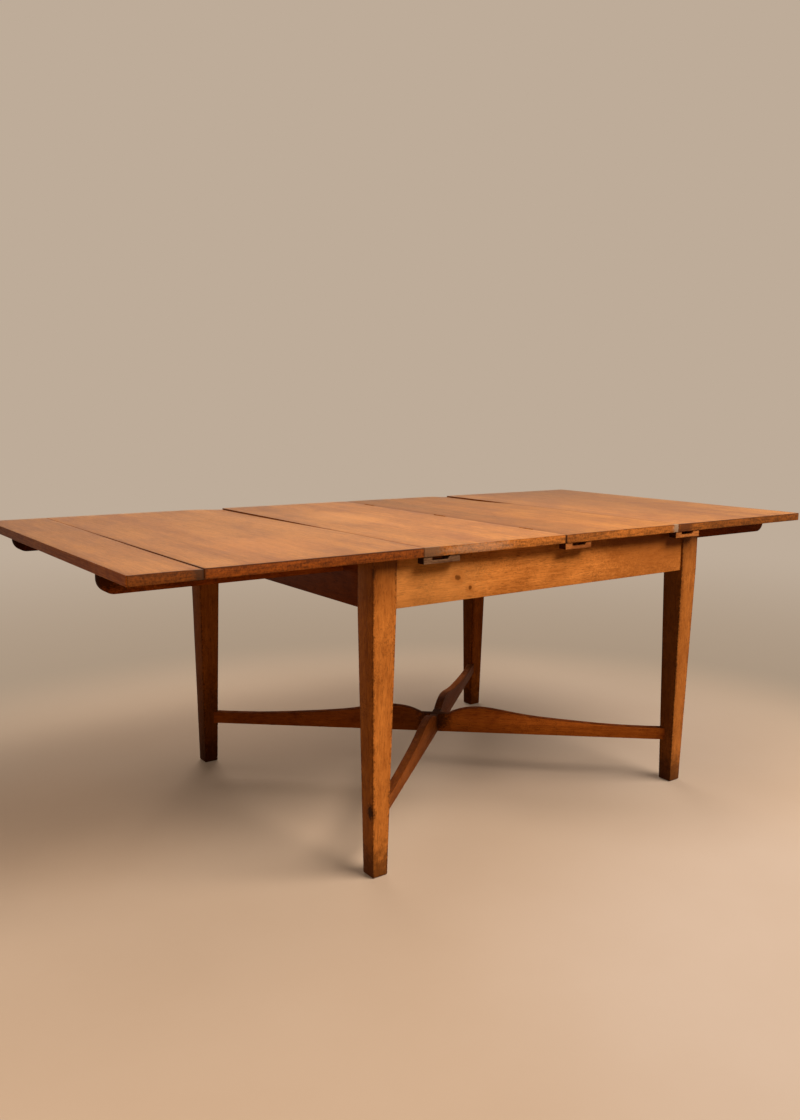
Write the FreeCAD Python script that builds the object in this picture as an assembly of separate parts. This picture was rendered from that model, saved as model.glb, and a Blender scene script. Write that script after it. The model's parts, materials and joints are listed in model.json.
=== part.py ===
import FreeCAD, Part
import math
import os

# Draw-top dining table with a folding centre leaf.  Millimetres, +Z up.
# X runs along the table, -Y is its front, and the origin is on the floor under the
# middle of the open top.  The base stands under the middle of the leaf.

# ---- top ----
table_height = 760.0
top_width = 1010.0
top_thickness = 22.0
end_board_length = 150.0
left_panel_length = 520.0
leaf_left_length = 438.0
leaf_right_length = 428.0
right_panel_length = 570.0
panel_gap = 1.0
end_board_gap = 1.5
corner_radius = 4.0
edge_round = 1.0

spline_thickness = 6.0
spline_width = 18.0
spline_end_margin = 25.0

# ---- base ----
end_overhang = 68.75         # past the base, on average, at each end when the top is closed
side_overhang = 25.0
leg_top_size = 63.0
leg_foot_size = 40.5
leg_arris_round = 1.5
foot_chamfer = 2.5
apron_depth = 114.0
apron_thickness = 22.0
apron_setback = 5.0
tenon_thickness = 8.0
tenon_length = 30.0
tenon_shoulder = 15.0

brace_thickness = 20.0
brace_height = 44.0
brace_bottom_margin = 12.0
lag_shank_radius = 3.0
lag_head_radius = 6.0
lag_head_height = 5.0
lag_depth = 26.0

# ---- crossed stretchers ----
stretcher_thickness = 22.0
stretcher_bottom = 121.0
stretcher_end_height = 33.5
stretcher_hump_height = 72.0
stretcher_cross_height = 53.0
stretcher_cross_flat = 40.0
stretcher_hump_at = 100.0
stretcher_slope = [(240.0, 58.0), (365.0, 44.5), (500.0, 35.5)]
stretcher_housing = 16.0
stretcher_peg_radius = 5.0
stretcher_peg_length = 42.0

# ---- sliding bearers and their guides ----
bearer_width = 26.0
bearer_height = 40.0
bearer_end_radius = 30.0
bearer_leg_gap = 7.0
rail_room = 33.0
bearer_end_clearance = 15.0
left_bearer_setbacks = {"front": 3.0, "back": 20.0}
right_bearer_setback = 42.0
draw_travel = 60.0
slide_fit = 0.3
rail_top_drop = 1.0
tongue_depth = 5.5
tongue_height = 8.0
rail_stub_length = 8.0
rail_stub_shoulder = 8.0
peg_radius = 5.0
peg_seat = 20.0
peg_drop = 15.0

# ---- slotted keeper blocks under the front and back edges ----
keeper_lengths = {"leaf_left": 103.0, "leaf_right": 90.0, "right_panel": 98.0}
keeper_height = 16.0
keeper_depth = 22.0
keeper_edge_setback = 2.0
keeper_slot_length = 51.0
keeper_slot_height = 9.0
keeper_slot_slope = 7.0
keeper_foot = 24.0
keeper_lead = 8.0

# ---- cleats that keep the leaf halves flat ----
cleat_width = 40.0
cleat_thickness = 18.0
cleat_end_margin = 30.0
cleat_bearer_gap = 23.0
cleat_screw_margin = 25.0
cleat_screw_count = 3

# ---- leaf hinges: butts let into the joint, knuckles level with the top ----
hinge_length = 50.0
hinge_count = 3
hinge_end_margin = 145.0
hinge_plate_thickness = 1.2
hinge_plate_height = 14.0
knuckle_radius = 1.6
hinge_pin_radius = 0.8
hinge_pin_fit = 0.05
knuckle_gap = 0.3
hinge_screw_radius = 1.2
hinge_screw_head_radius = 2.2
hinge_screw_head_height = 0.8
hinge_screw_length = 12.0
hinge_screw_inset = 10.0
hinge_screw_drop = 9.0

# ---- wood screws driven up from below ----
screw_shank_radius = 2.0
screw_head_radius = 4.0
screw_head_height = 3.0
screw_point_length = 4.0
screw_grip = 13.0
bearer_bore_radius = 5.0
bearer_bore_depth = 14.0
bearer_screw_margin = 38.0
keeper_screw_shank_radius = 1.6
keeper_screw_head_radius = 3.0
keeper_screw_head_height = 2.0

# ---- places worked out from the sizes above ----
left_half_length = end_board_length + end_board_gap + left_panel_length
leaf_length = leaf_left_length + panel_gap + leaf_right_length
top_length = left_half_length + leaf_length + right_panel_length + 2 * panel_gap
x_left = -top_length / 2
x_right = top_length / 2
x_end_board = x_left + end_board_length
x_left_panel = x_end_board + end_board_gap
x_left_joint = x_left + left_half_length
x_leaf = x_left_joint + panel_gap
hinge_x = x_leaf + leaf_left_length + panel_gap / 2
x_leaf_right = hinge_x + panel_gap / 2
x_leaf_end = x_leaf + leaf_length
x_right_panel = x_leaf_end + panel_gap

frame_length = left_half_length + right_panel_length - 2 * end_overhang
frame_width = top_width - 2 * side_overhang
frame_x = (x_leaf + x_leaf_end) / 2
frame_top = table_height - top_thickness
apron_bottom = frame_top - apron_depth
leg_in_x = frame_length / 2 - leg_top_size
leg_in_y = frame_width / 2 - leg_top_size
apron_out_x = frame_length / 2 - apron_setback
apron_out_y = frame_width / 2 - apron_setback
apron_in_x = apron_out_x - apron_thickness
apron_in_y = apron_out_y - apron_thickness
bearer_bottom = frame_top - bearer_height
right_bearer_y = leg_in_y - bearer_leg_gap - bearer_width / 2
left_bearer_y = right_bearer_y - rail_room - bearer_width
close_travel = (leaf_length + panel_gap) / 2
y_edge = top_width / 2


def vec(x, y, z):
    return FreeCAD.Vector(x, y, z)


def box(x0, x1, y0, y1, z0, z1):
    """Box between two pairs of limits on each axis, given in either order."""
    low = vec(min(x0, x1), min(y0, y1), min(z0, z1))
    return Part.makeBox(abs(x1 - x0), abs(y1 - y0), abs(z1 - z0), low)


def prism(points, direction):
    """Solid made by pushing a flat polygon along a direction."""
    return Part.Face(Part.makePolygon(points + points[:1])).extrude(direction)


def rod(radius, start, direction, length):
    return Part.makeCylinder(radius, length, start, direction)


def write(name, *solids):
    """Write one node: a single solid, or a group of like fasteners."""
    shape = solids[0] if len(solids) == 1 else Part.makeCompound(list(solids))
    shape.exportStep(os.path.join("parts", name + ".step"))


def screw(start, direction, length, shank, head, head_height):
    """Countersunk wood screw; start is the middle of the head's outer face."""
    body = Part.makeCone(head, shank, head_height, start, direction)
    neck = start + direction * head_height
    body = body.fuse(rod(shank, neck, direction, length - head_height - screw_point_length))
    point = start + direction * (length - screw_point_length)
    return body.fuse(Part.makeCone(shank, 0.0, screw_point_length, point, direction)).removeSplitter()


def cut_all(shape, tools):
    """The shape less every tool that reaches it."""
    near = [tool for tool in tools if shape.BoundBox.intersect(tool.BoundBox)]
    return shape.cut(near) if near else shape


# ---- top boards ----
def top_board(x0, x1, round_left=False, round_right=False):
    """One board of the top, grain front to back, its free corners and its arrises rounded."""
    board = box(x0, x1, -y_edge, y_edge, frame_top, table_height)
    ends = ([x0] if round_left else []) + ([x1] if round_right else [])
    upright = [edge for edge in board.Edges if abs(edge.tangentAt(edge.FirstParameter).z) > 0.9
               and any(abs(edge.CenterOfMass.x - x) < 0.01 for x in ends)]
    if upright:
        board = board.makeFillet(corner_radius, upright)
    rim = [edge for edge in board.Edges if abs(edge.tangentAt(edge.FirstParameter).z) < 0.1]
    return board.makeFillet(edge_round, rim)


def end_board_spline():
    middle_x = (x_end_board + x_left_panel) / 2
    middle_z = frame_top + top_thickness / 2
    reach = y_edge - spline_end_margin
    return box(middle_x - spline_width / 2, middle_x + spline_width / 2, -reach, reach,
               middle_z - spline_thickness / 2, middle_z + spline_thickness / 2)


# ---- base ----
def leg_half_at(z):
    return (leg_foot_size + (leg_top_size - leg_foot_size) * z / apron_bottom) / 2


def rounded_square(cx, cy, size, z):
    """Level outline of a leg with its four arrises rounded."""
    half = size / 2
    run = half - leg_arris_round
    mid = half - leg_arris_round * (1 - math.sqrt(0.5))
    edges = []
    for turn in range(4):
        c = round(math.cos(turn * math.pi / 2))
        s = round(math.sin(turn * math.pi / 2))

        def at(x, y):
            return vec(cx + c * x - s * y, cy + s * x + c * y, z)

        edges.append(Part.makeLine(at(half, -run), at(half, run)))
        edges.append(Part.Arc(at(half, run), at(mid, mid), at(run, half)).toShape())
    return Part.Wire(edges)


def leg(side_x, side_y):
    """Square leg: straight behind the aprons, then tapered on all four faces."""
    cx = frame_x + side_x * (frame_length - leg_top_size) / 2
    cy = side_y * (frame_width - leg_top_size) / 2
    outlines = [(leg_foot_size - 2 * foot_chamfer, 0.0), (2 * leg_half_at(foot_chamfer), foot_chamfer),
                (leg_top_size, apron_bottom), (leg_top_size, frame_top)]
    return Part.makeLoft([rounded_square(cx, cy, size, z) for size, z in outlines], True, True)


def tenon_span():
    return apron_bottom + tenon_shoulder, frame_top - tenon_shoulder


def long_apron(side_y):
    """Apron along the front or back, with a tenon into each leg."""
    y0 = side_y * apron_in_y
    y1 = side_y * apron_out_y
    low, high = tenon_span()
    middle = (y0 + y1) / 2
    reach = leg_in_x + tenon_length
    board = box(frame_x - leg_in_x, frame_x + leg_in_x, y0, y1, apron_bottom, frame_top)
    tenons = box(frame_x - reach, frame_x + reach, middle - tenon_thickness / 2,
                 middle + tenon_thickness / 2, low, high)
    return board.fuse(tenons).removeSplitter()


def side_apron(side_x, bearer_y):
    """Apron across one end, notched from above where that end's two bearers run."""
    x0 = frame_x + side_x * apron_in_x
    x1 = frame_x + side_x * apron_out_x
    low, high = tenon_span()
    middle = (x0 + x1) / 2
    reach = leg_in_y + tenon_length
    board = box(x0, x1, -leg_in_y, leg_in_y, apron_bottom, frame_top)
    tenons = box(middle - tenon_thickness / 2, middle + tenon_thickness / 2, -reach, reach, low, high)
    board = board.fuse(tenons).removeSplitter()
    half = bearer_width / 2 + slide_fit
    beyond = side_x * apron_thickness
    notches = [box(x0 - beyond, x1 + beyond, side * bearer_y - half, side * bearer_y + half,
                   bearer_bottom - slide_fit, table_height) for side in (-1, 1)]
    return board.cut(notches)


def corner_brace(side_x, side_y):
    """Diagonal brace across a corner, against both aprons and the leg's inner arris."""
    touch = (apron_in_x - leg_in_x) + (apron_in_y - leg_in_y) + leg_arris_round * (2 - math.sqrt(2))
    outer = touch + brace_thickness * math.sqrt(2)
    z = apron_bottom + brace_bottom_margin

    def place(u, v):
        return vec(frame_x + side_x * (apron_in_x - u), side_y * (apron_in_y - v), z)

    outline = [place(touch, 0), place(outer, 0), place(0, outer), place(0, touch)]
    return prism(outline, vec(0, 0, brace_height))


def brace_screw(side_x, side_y):
    """Lag screw through the brace's middle into the leg's inner arris."""
    touch = (apron_in_x - leg_in_x) + (apron_in_y - leg_in_y) + leg_arris_round * (2 - math.sqrt(2))
    outer = (touch + brace_thickness * math.sqrt(2)) / 2
    z = apron_bottom + brace_bottom_margin + brace_height / 2
    start = vec(frame_x + side_x * (apron_in_x - outer), side_y * (apron_in_y - outer), z)
    into = vec(side_x, side_y, 0).normalize()
    head = rod(lag_head_radius, start - into * lag_head_height, into, lag_head_height)
    shank = rod(lag_shank_radius, start, into, brace_thickness + lag_depth)
    return head.fuse(shank).removeSplitter()


# ---- crossed stretchers ----
def stretcher_half_length():
    """From the crossing to the end that is housed in the leg."""
    half = leg_half_at(stretcher_bottom)
    reach_x = (frame_length - leg_top_size) / 2 - half
    reach_y = (frame_width - leg_top_size) / 2 - half
    return math.hypot(reach_x, reach_y) + stretcher_housing


def stretcher_top(sign, reach):
    """Top edge of one arm: flat at the crossing, a hump beside it, then a long fall."""
    base = stretcher_bottom
    places = [(stretcher_cross_flat, stretcher_cross_height),
              (stretcher_hump_at, stretcher_hump_height)] + stretcher_slope
    places = [vec(sign * s, 0, base + h) for s, h in places]
    end = vec(sign * reach, 0, base + stretcher_end_height)
    curve = Part.BSplineCurve()
    curve.interpolate(Points=places + [end])
    flat = Part.LineSegment(vec(0, 0, base + stretcher_cross_height), places[0])
    return flat.toShape(), curve.toShape(), end


def stretcher_board(angle):
    """Whole stretcher board, before it is halved where the two cross."""
    reach = stretcher_half_length()
    right_flat, right_curve, right_end = stretcher_top(1, reach)
    left_flat, left_curve, left_end = stretcher_top(-1, reach)
    right_low = vec(reach, 0, stretcher_bottom)
    left_low = vec(-reach, 0, stretcher_bottom)
    outline = Part.Wire(Part.__sortEdges__([
        Part.makeLine(left_low, right_low), Part.makeLine(right_low, right_end), right_curve,
        right_flat, left_flat, left_curve, Part.makeLine(left_end, left_low)]))
    board = Part.Face(outline).extrude(vec(0, stretcher_thickness, 0))
    board.translate(vec(0, -stretcher_thickness / 2, 0))
    board.rotate(vec(0, 0, 0), vec(0, 0, 1), angle)
    board.translate(vec(frame_x, 0, 0))
    return board


def stretchers():
    """The two boards, halved into each other where they cross, and the peg that pins them."""
    angle = math.degrees(math.atan2(frame_width - leg_top_size, frame_length - leg_top_size))
    falling = stretcher_board(-angle)
    rising = stretcher_board(angle)
    split = stretcher_bottom + stretcher_cross_height / 2
    reach = 4 * stretcher_thickness
    lower = box(frame_x - reach, frame_x + reach, -reach, reach, 0, split)
    upper = box(frame_x - reach, frame_x + reach, -reach, reach, split, table_height)
    lap = falling.common(rising)
    peg = rod(stretcher_peg_radius, vec(frame_x, 0, stretcher_bottom), vec(0, 0, 1),
              stretcher_peg_length)
    falling = falling.cut(lap.common(lower)).cut(peg)
    rising = rising.cut(lap.common(upper)).cut(peg)
    return falling, rising, peg


# ---- bearers, guides and stops ----
def bearer(x_out, x_in, side_y, middle_y, groove_side, rail_end_x):
    """Bearer under one half of the top: rounded lower outer end and a stopped groove."""
    inward = 1 if x_in > x_out else -1
    y0 = side_y * middle_y - bearer_width / 2
    y1 = side_y * middle_y + bearer_width / 2
    body = box(x_out, x_in, y0, y1, bearer_bottom, frame_top)
    lower_end = [edge for edge in body.Edges if abs(edge.CenterOfMass.x - x_out) < 0.01
                 and abs(edge.CenterOfMass.z - bearer_bottom) < 0.01]
    body = body.makeFillet(bearer_end_radius, lower_end)
    face = side_y * (middle_y + groove_side * bearer_width / 2)
    deep = face - side_y * groove_side * (tongue_depth + slide_fit)
    groove_end = rail_end_x - inward * (close_travel + 2 * bearer_width)
    half = tongue_height / 2 + slide_fit
    middle_z = (frame_top + bearer_bottom) / 2
    groove = box(groove_end, x_in + inward, face + side_y * groove_side, deep,
                 middle_z - half, middle_z + half)
    return body.cut(groove)


def guide_rail(side_y):
    """Fixed rail between the two bearers of one side, tongued into both of them."""
    inner = left_bearer_y + bearer_width / 2 + slide_fit
    outer = right_bearer_y - bearer_width / 2 - slide_fit
    x0 = frame_x - apron_in_x
    x1 = frame_x + apron_in_x
    top = frame_top - rail_top_drop
    middle_z = (frame_top + bearer_bottom) / 2
    body = box(x0, x1, side_y * inner, side_y * outer, bearer_bottom, top)
    tongues = box(x0, x1, side_y * (inner - tongue_depth), side_y * (outer + tongue_depth),
                  middle_z - tongue_height / 2, middle_z + tongue_height / 2)
    stubs = box(x0 - rail_stub_length, x1 + rail_stub_length,
                side_y * (inner + rail_stub_shoulder), side_y * (outer - rail_stub_shoulder),
                bearer_bottom + rail_stub_shoulder, top - rail_stub_shoulder)
    return body.fuse([tongues, stubs]).removeSplitter()


def stop_peg(side_x, side_y, middle_y):
    """Peg under a bearer that meets the side apron when the half is drawn right out."""
    x = frame_x + side_x * (apron_in_x - draw_travel - peg_radius - slide_fit)
    low = vec(x, side_y * middle_y, bearer_bottom - peg_drop)
    return rod(peg_radius, low, vec(0, 0, 1), peg_drop + peg_seat)


def bearer_screws(joints, side_y, middle_y):
    """Screws up through one bearer; joints are the spans of top that it carries."""
    length = bearer_height - bearer_bore_depth + screw_grip
    solids = []
    for x0, x1, count in joints:
        for step in range(count):
            share = step / (count - 1)
            x = x0 + bearer_screw_margin + share * (x1 - x0 - 2 * bearer_screw_margin)
            start = vec(x, side_y * middle_y, bearer_bottom + bearer_bore_depth)
            solids.append(screw(start, vec(0, 0, 1), length, screw_shank_radius,
                                screw_head_radius, screw_head_height))
    return solids


def bore_below(fastener):
    """Counterbore that lets a screw's head up into a bearer."""
    low = fastener.BoundBox
    start = vec((low.XMin + low.XMax) / 2, (low.YMin + low.YMax) / 2, bearer_bottom)
    return rod(bearer_bore_radius, start, vec(0, 0, 1), bearer_bore_depth)


# ---- keeper blocks ----
def keeper(x0, side_y, length, lead):
    """Block under the panel's edge with a flat slot, open front to back, along its top."""
    x0 = x0 - lead
    y_out = side_y * (y_edge - keeper_edge_setback)
    bottom = frame_top - keeper_height
    slot_x = x0 + keeper_foot
    slot_bottom = frame_top - keeper_slot_height
    outline = [(x0, bottom), (x0 + length, bottom), (x0 + length, frame_top),
               (slot_x + keeper_slot_length, frame_top),
               (slot_x + keeper_slot_length - keeper_slot_slope, slot_bottom),
               (slot_x, slot_bottom), (slot_x, frame_top), (x0, frame_top)]
    points = [vec(x, y_out, z) for x, z in outline]
    return prism(points, vec(0, -side_y * keeper_depth, 0))


def keeper_screws(x0, side_y, length, lead):
    """One screw up through each foot of a keeper."""
    y = side_y * (y_edge - keeper_edge_setback - keeper_depth / 2)
    z = frame_top - keeper_height
    right_foot = length - keeper_foot - keeper_slot_length
    places = [x0 + (keeper_foot - lead) / 2, x0 - lead + length - right_foot / 2]
    return [screw(vec(x, y, z), vec(0, 0, 1), keeper_height + screw_grip,
                  keeper_screw_shank_radius, keeper_screw_head_radius, keeper_screw_head_height)
            for x in places]


# ---- leaf cleats ----
def cleat(x0, x1, side_y):
    outer = left_bearer_y - bearer_width / 2 - cleat_bearer_gap
    return box(x0 + cleat_end_margin, x1 - cleat_end_margin, side_y * (outer - cleat_width),
               side_y * outer, frame_top - cleat_thickness, frame_top)


def cleat_screws(x0, x1, side_y):
    y = side_y * (left_bearer_y - bearer_width / 2 - cleat_bearer_gap - cleat_width / 2)
    first = x0 + cleat_end_margin + cleat_screw_margin
    last = x1 - cleat_end_margin - cleat_screw_margin
    pitch = (last - first) / (cleat_screw_count - 1)
    return [screw(vec(first + step * pitch, y, frame_top - cleat_thickness), vec(0, 0, 1),
                  cleat_thickness + screw_grip, screw_shank_radius, screw_head_radius,
                  screw_head_height) for step in range(cleat_screw_count)]


# ---- leaf hinges ----
def hinge_places():
    """Middles of the hinges along the joint."""
    first = -y_edge + hinge_end_margin
    pitch = (top_width - 2 * hinge_end_margin) / (hinge_count - 1)
    return [first + step * pitch for step in range(hinge_count)]


def hinge_plate(side_x, y):
    """Plate and knuckles of one side: the outer two knuckles on the left, the middle one right."""
    face = hinge_x + side_x * panel_gap / 2
    half = hinge_length / 2
    middle = hinge_length / 6
    plate = box(face, face + side_x * hinge_plate_thickness, y - half, y + half,
                table_height - hinge_plate_height, table_height)
    barrel = rod(knuckle_radius, vec(hinge_x, y - half, table_height), vec(0, 1, 0), hinge_length)
    bore = rod(hinge_pin_radius + hinge_pin_fit, vec(hinge_x, y - half, table_height),
               vec(0, 1, 0), hinge_length)
    reach = knuckle_radius + knuckle_gap
    z0 = table_height - reach
    z1 = table_height + reach
    if side_x < 0:
        gaps = [box(hinge_x - reach, hinge_x + reach, y - middle - knuckle_gap,
                    y + middle + knuckle_gap, z0, z1)]
    else:
        gaps = [box(hinge_x - reach, hinge_x + reach, y + end * middle,
                    y + end * (half + knuckle_gap), z0, z1) for end in (-1, 1)]
    return plate.fuse(barrel.cut(gaps)).cut(gaps).cut(bore).removeSplitter()


def hinge_pin(y):
    return rod(hinge_pin_radius, vec(hinge_x, y - hinge_length / 2, table_height), vec(0, 1, 0),
               hinge_length)


def hinge_recess(side_x, y):
    """Room for a plate in the leaf's edge and for the knuckles along its top arris."""
    face = hinge_x + side_x * panel_gap / 2
    half = hinge_length / 2 + knuckle_gap
    plate = box(face - side_x * panel_gap / 2, face + side_x * hinge_plate_thickness,
                y - hinge_length / 2, y + hinge_length / 2,
                table_height - hinge_plate_height, table_height + 1)
    round_room = rod(knuckle_radius + knuckle_gap, vec(hinge_x, y - half, table_height),
                     vec(0, 1, 0), 2 * half)
    return [plate, round_room]


def hinge_screws(side_x, y):
    """Two screws through one plate into the leaf's edge."""
    face = hinge_x + side_x * panel_gap / 2
    z = table_height - hinge_screw_drop
    places = [y + end * (hinge_length / 2 - hinge_screw_inset) for end in (-1, 1)]
    return [screw(vec(face, place, z), vec(side_x, 0, 0), hinge_screw_length, hinge_screw_radius,
                  hinge_screw_head_radius, hinge_screw_head_height) for place in places]


def build():
    os.makedirs("parts", exist_ok=True)
    sides = {"front": -1, "back": 1}

    # Base.
    falling, rising, peg = stretchers()
    aprons = {"front": long_apron(-1), "back": long_apron(1),
              "left": side_apron(-1, left_bearer_y), "right": side_apron(1, right_bearer_y)}
    rails = {name: guide_rail(side) for name, side in sides.items()}
    for name in ("left", "right"):
        aprons[name] = cut_all(aprons[name], rails.values())
    lags = []
    for x_name, side_x in (("left", -1), ("right", 1)):
        for y_name, side_y in sides.items():
            lag = brace_screw(side_x, side_y)
            lags.append(lag)
            write("corner_brace_%s_%s" % (y_name, x_name), corner_brace(side_x, side_y).cut(lag))
            tools = [falling, rising, lag] + list(aprons.values())
            write("leg_%s_%s" % (y_name, x_name), cut_all(leg(side_x, side_y), tools))
    for name, apron in aprons.items():
        write("apron_" + name, apron)
    for name, rail in rails.items():
        write("guide_rail_" + name, rail)
    write("brace_screws", *lags)
    write("stretcher_falling", falling)
    write("stretcher_rising", rising)
    write("stretcher_peg", peg)

    # Bearers, with their stop pegs and screws.
    outer_ends = {"left": {name: x_left + left_bearer_setbacks[name] for name in sides},
                  "right": {name: x_right - right_bearer_setback for name in sides}}
    fasteners = {"left": [], "right": []}
    for half, side_x, middle_y, groove in (("left", -1, left_bearer_y, 1),
                                           ("right", 1, right_bearer_y, -1)):
        # Pushed in, the bearer's inner end stops just short of the far side apron.
        x_in = frame_x - side_x * (apron_in_x - close_travel - bearer_end_clearance)
        pegs = []
        for y_name, side_y in sides.items():
            x_out = outer_ends[half][y_name]
            spans = ([(x_out, x_end_board, 2), (x_left_panel, x_left_joint, 3)] if half == "left"
                     else [(x_right_panel, x_out, 3)])
            peg = stop_peg(side_x, side_y, middle_y)
            screws = bearer_screws(spans, side_y, middle_y)
            body = bearer(x_out, x_in, side_y, middle_y, groove, frame_x + side_x * apron_in_x)
            tools = [peg] + screws + [bore_below(item) for item in screws]
            write("bearer_%s_%s" % (half, y_name), body.cut(tools))
            pegs.append(peg)
            fasteners[half] += screws
        write("stop_pegs_" + half, *pegs)
        write("bearer_screws_" + half, *fasteners[half])

    # Keeper blocks: at the left end of each leaf half and of the right panel.
    held = {"leaf_left": [], "leaf_right": [], "right_panel": []}
    for panel, x0, lead in (("leaf_left", x_leaf, 0.0), ("leaf_right", x_leaf_right, 0.0),
                            ("right_panel", x_right_panel, keeper_lead)):
        for y_name, side_y in sides.items():
            length = keeper_lengths[panel]
            screws = keeper_screws(x0, side_y, length, lead)
            block = keeper(x0, side_y, length, lead)
            write("keeper_%s_%s" % (panel, y_name), block.cut(screws))
            held[panel] += screws
        write("keeper_screws_" + panel, *held[panel])

    # Cleats and hinges of the leaf.
    hinges = {"leaf_left": -1, "leaf_right": 1}
    for panel, x0, x1 in (("leaf_left", x_leaf, x_leaf + leaf_left_length),
                          ("leaf_right", x_leaf_right, x_leaf_end)):
        fixings = []
        for y_name, side_y in sides.items():
            screws = cleat_screws(x0, x1, side_y)
            write("cleat_%s_%s" % (panel, y_name), cleat(x0, x1, side_y).cut(screws))
            fixings += screws
        write("cleat_screws_" + panel, *fixings)
        plates = []
        plate_screws = []
        recesses = []
        for y in hinge_places():
            side = hinges[panel]
            screws = hinge_screws(side, y)
            plates.append(hinge_plate(side, y).cut(screws))
            plate_screws += screws
            recesses += hinge_recess(side, y)
        write("hinge_plates_" + panel, *plates)
        write("hinge_screws_" + panel, *plate_screws)
        held[panel] += fixings + plate_screws + recesses
        write(panel + "_panel", top_board(x0, x1).cut(held[panel]))
    write("hinge_pins", *[hinge_pin(y) for y in hinge_places()])

    # Halves of the top.
    spline = end_board_spline()
    end_board = top_board(x_left, x_end_board, round_left=True)
    left_panel = top_board(x_left_panel, x_left_joint)
    right_panel = top_board(x_right_panel, x_right, round_right=True)
    write("end_board_spline", spline)
    write("end_board", cut_all(end_board, [spline] + fasteners["left"]))
    write("left_panel", cut_all(left_panel, [spline] + fasteners["left"]))
    write("right_panel", cut_all(right_panel, held["right_panel"] + fasteners["right"]))


build()
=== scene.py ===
import json
import math
import random

import bpy
from mathutils import Matrix, Vector


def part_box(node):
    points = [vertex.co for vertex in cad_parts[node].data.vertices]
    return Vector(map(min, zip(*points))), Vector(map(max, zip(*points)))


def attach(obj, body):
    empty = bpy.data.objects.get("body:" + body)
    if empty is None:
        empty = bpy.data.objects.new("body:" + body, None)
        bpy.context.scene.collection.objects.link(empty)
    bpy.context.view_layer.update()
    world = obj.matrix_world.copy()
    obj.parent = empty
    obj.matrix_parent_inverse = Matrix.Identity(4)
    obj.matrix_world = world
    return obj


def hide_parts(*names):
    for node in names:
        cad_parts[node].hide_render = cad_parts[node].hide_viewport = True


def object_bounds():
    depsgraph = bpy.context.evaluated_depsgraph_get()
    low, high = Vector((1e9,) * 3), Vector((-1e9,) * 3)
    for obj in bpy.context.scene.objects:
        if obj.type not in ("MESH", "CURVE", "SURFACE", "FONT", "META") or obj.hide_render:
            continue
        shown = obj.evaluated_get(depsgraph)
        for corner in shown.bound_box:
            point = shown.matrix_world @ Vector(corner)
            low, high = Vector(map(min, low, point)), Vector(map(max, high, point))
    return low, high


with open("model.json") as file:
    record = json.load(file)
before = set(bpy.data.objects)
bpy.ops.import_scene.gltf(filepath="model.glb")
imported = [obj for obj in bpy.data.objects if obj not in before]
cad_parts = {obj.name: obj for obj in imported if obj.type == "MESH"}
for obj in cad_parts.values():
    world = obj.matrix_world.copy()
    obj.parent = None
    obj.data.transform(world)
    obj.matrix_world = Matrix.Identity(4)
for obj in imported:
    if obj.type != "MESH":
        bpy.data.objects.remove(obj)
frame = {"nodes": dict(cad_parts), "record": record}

bl_info = {
    "name": "Draw-top table finish",
    "version": (1, 0, 0),
    "blender": (4, 5, 0),
    "location": "3D View > Sidebar > Table",
    "description": "Models and finishes the visible boards of a draw-top table around its frame",
    "category": "Object",
}

CAD_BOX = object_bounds()
NODES = frame["nodes"]

TOP_BOARDS = ("end_board", "left_panel", "leaf_left_panel", "leaf_right_panel", "right_panel")
LEGS = ("leg_front_left", "leg_front_right", "leg_back_left", "leg_back_right")
APRONS = ("apron_front", "apron_back", "apron_left", "apron_right")
STRETCHERS = ("stretcher_falling", "stretcher_rising")
BEARERS = ("bearer_left_front", "bearer_left_back", "bearer_right_front", "bearer_right_back")
KEEPERS = tuple(name for name in sorted(NODES) if name.startswith("keeper_")
                and "screws" not in name)
# Hidden wooden parts by the start of their names, with the axis that their grain follows.
UNDER_GRAIN = {"guide_rail": "X", "corner_brace": "X", "cleat_leaf": "X", "end_board_spline": "Y",
               "stop_pegs": "Z", "stretcher_peg": "Z"}
STEEL_PARTS = tuple(name for name in sorted(NODES) if "screws" in name)
BRASS_PARTS = ("hinge_plates_leaf_left", "hinge_plates_leaf_right", "hinge_pins")


def srgb(red, green, blue):
    """Linear colour of an 8-bit screen colour."""
    def linear(value):
        share = value / 255
        return share / 12.92 if share <= 0.04045 else ((share + 0.055) / 1.055) ** 2.4
    return tuple(linear(value) for value in (red, green, blue))


def shade(colour, share):
    """A colour times a share, or times one share for each channel."""
    shares = share if isinstance(share, tuple) else (share,) * 3
    return tuple(channel * part for channel, part in zip(colour, shares))


# ---------------- sizes, in metres
TOP_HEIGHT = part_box("left_panel")[1].z
TOP_THICKNESS = TOP_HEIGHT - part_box("left_panel")[0].z
TOP_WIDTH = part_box("left_panel")[1].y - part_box("left_panel")[0].y
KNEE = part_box("apron_front")[0].z  # the legs taper below this height
FOOT_SIZE = 0.0405
FOOT_CHAMFER = 0.0025
TOP_STRIPS = 40  # strips that a board is cut into from front to back
STRIP_WIDTH = 0.02  # and about how wide they are along the top
FEWEST_STRIPS = 8
LEG_STRIPS = 34
CORNER_SEGMENTS = 6
TOP_HOLLOWS = 0.22  # size of the soft hollows in the top and in the legs
LEG_HOLLOWS = 0.09
SKIN = 0.004  # points this near a board's highest one are its upper face
NEAR = 0.0005  # places this near to each other count as one
LEG_WORN = (0.02, 0.002)  # hollows keep this far from the foot and the head
EDGE_MARGIN = 0.01  # the first plank's tone starts this far outside its board
MERGE = 0.00002
FLAT_ANGLE = 0.5  # in degrees: faces this near to flat are joined
SMOOTH_ANGLE = 35.0
SHARP_ANGLE = 28.0  # arrises sharper than this are rounded, on the legs than the next one
LEG_ANGLE = 25.0

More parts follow.
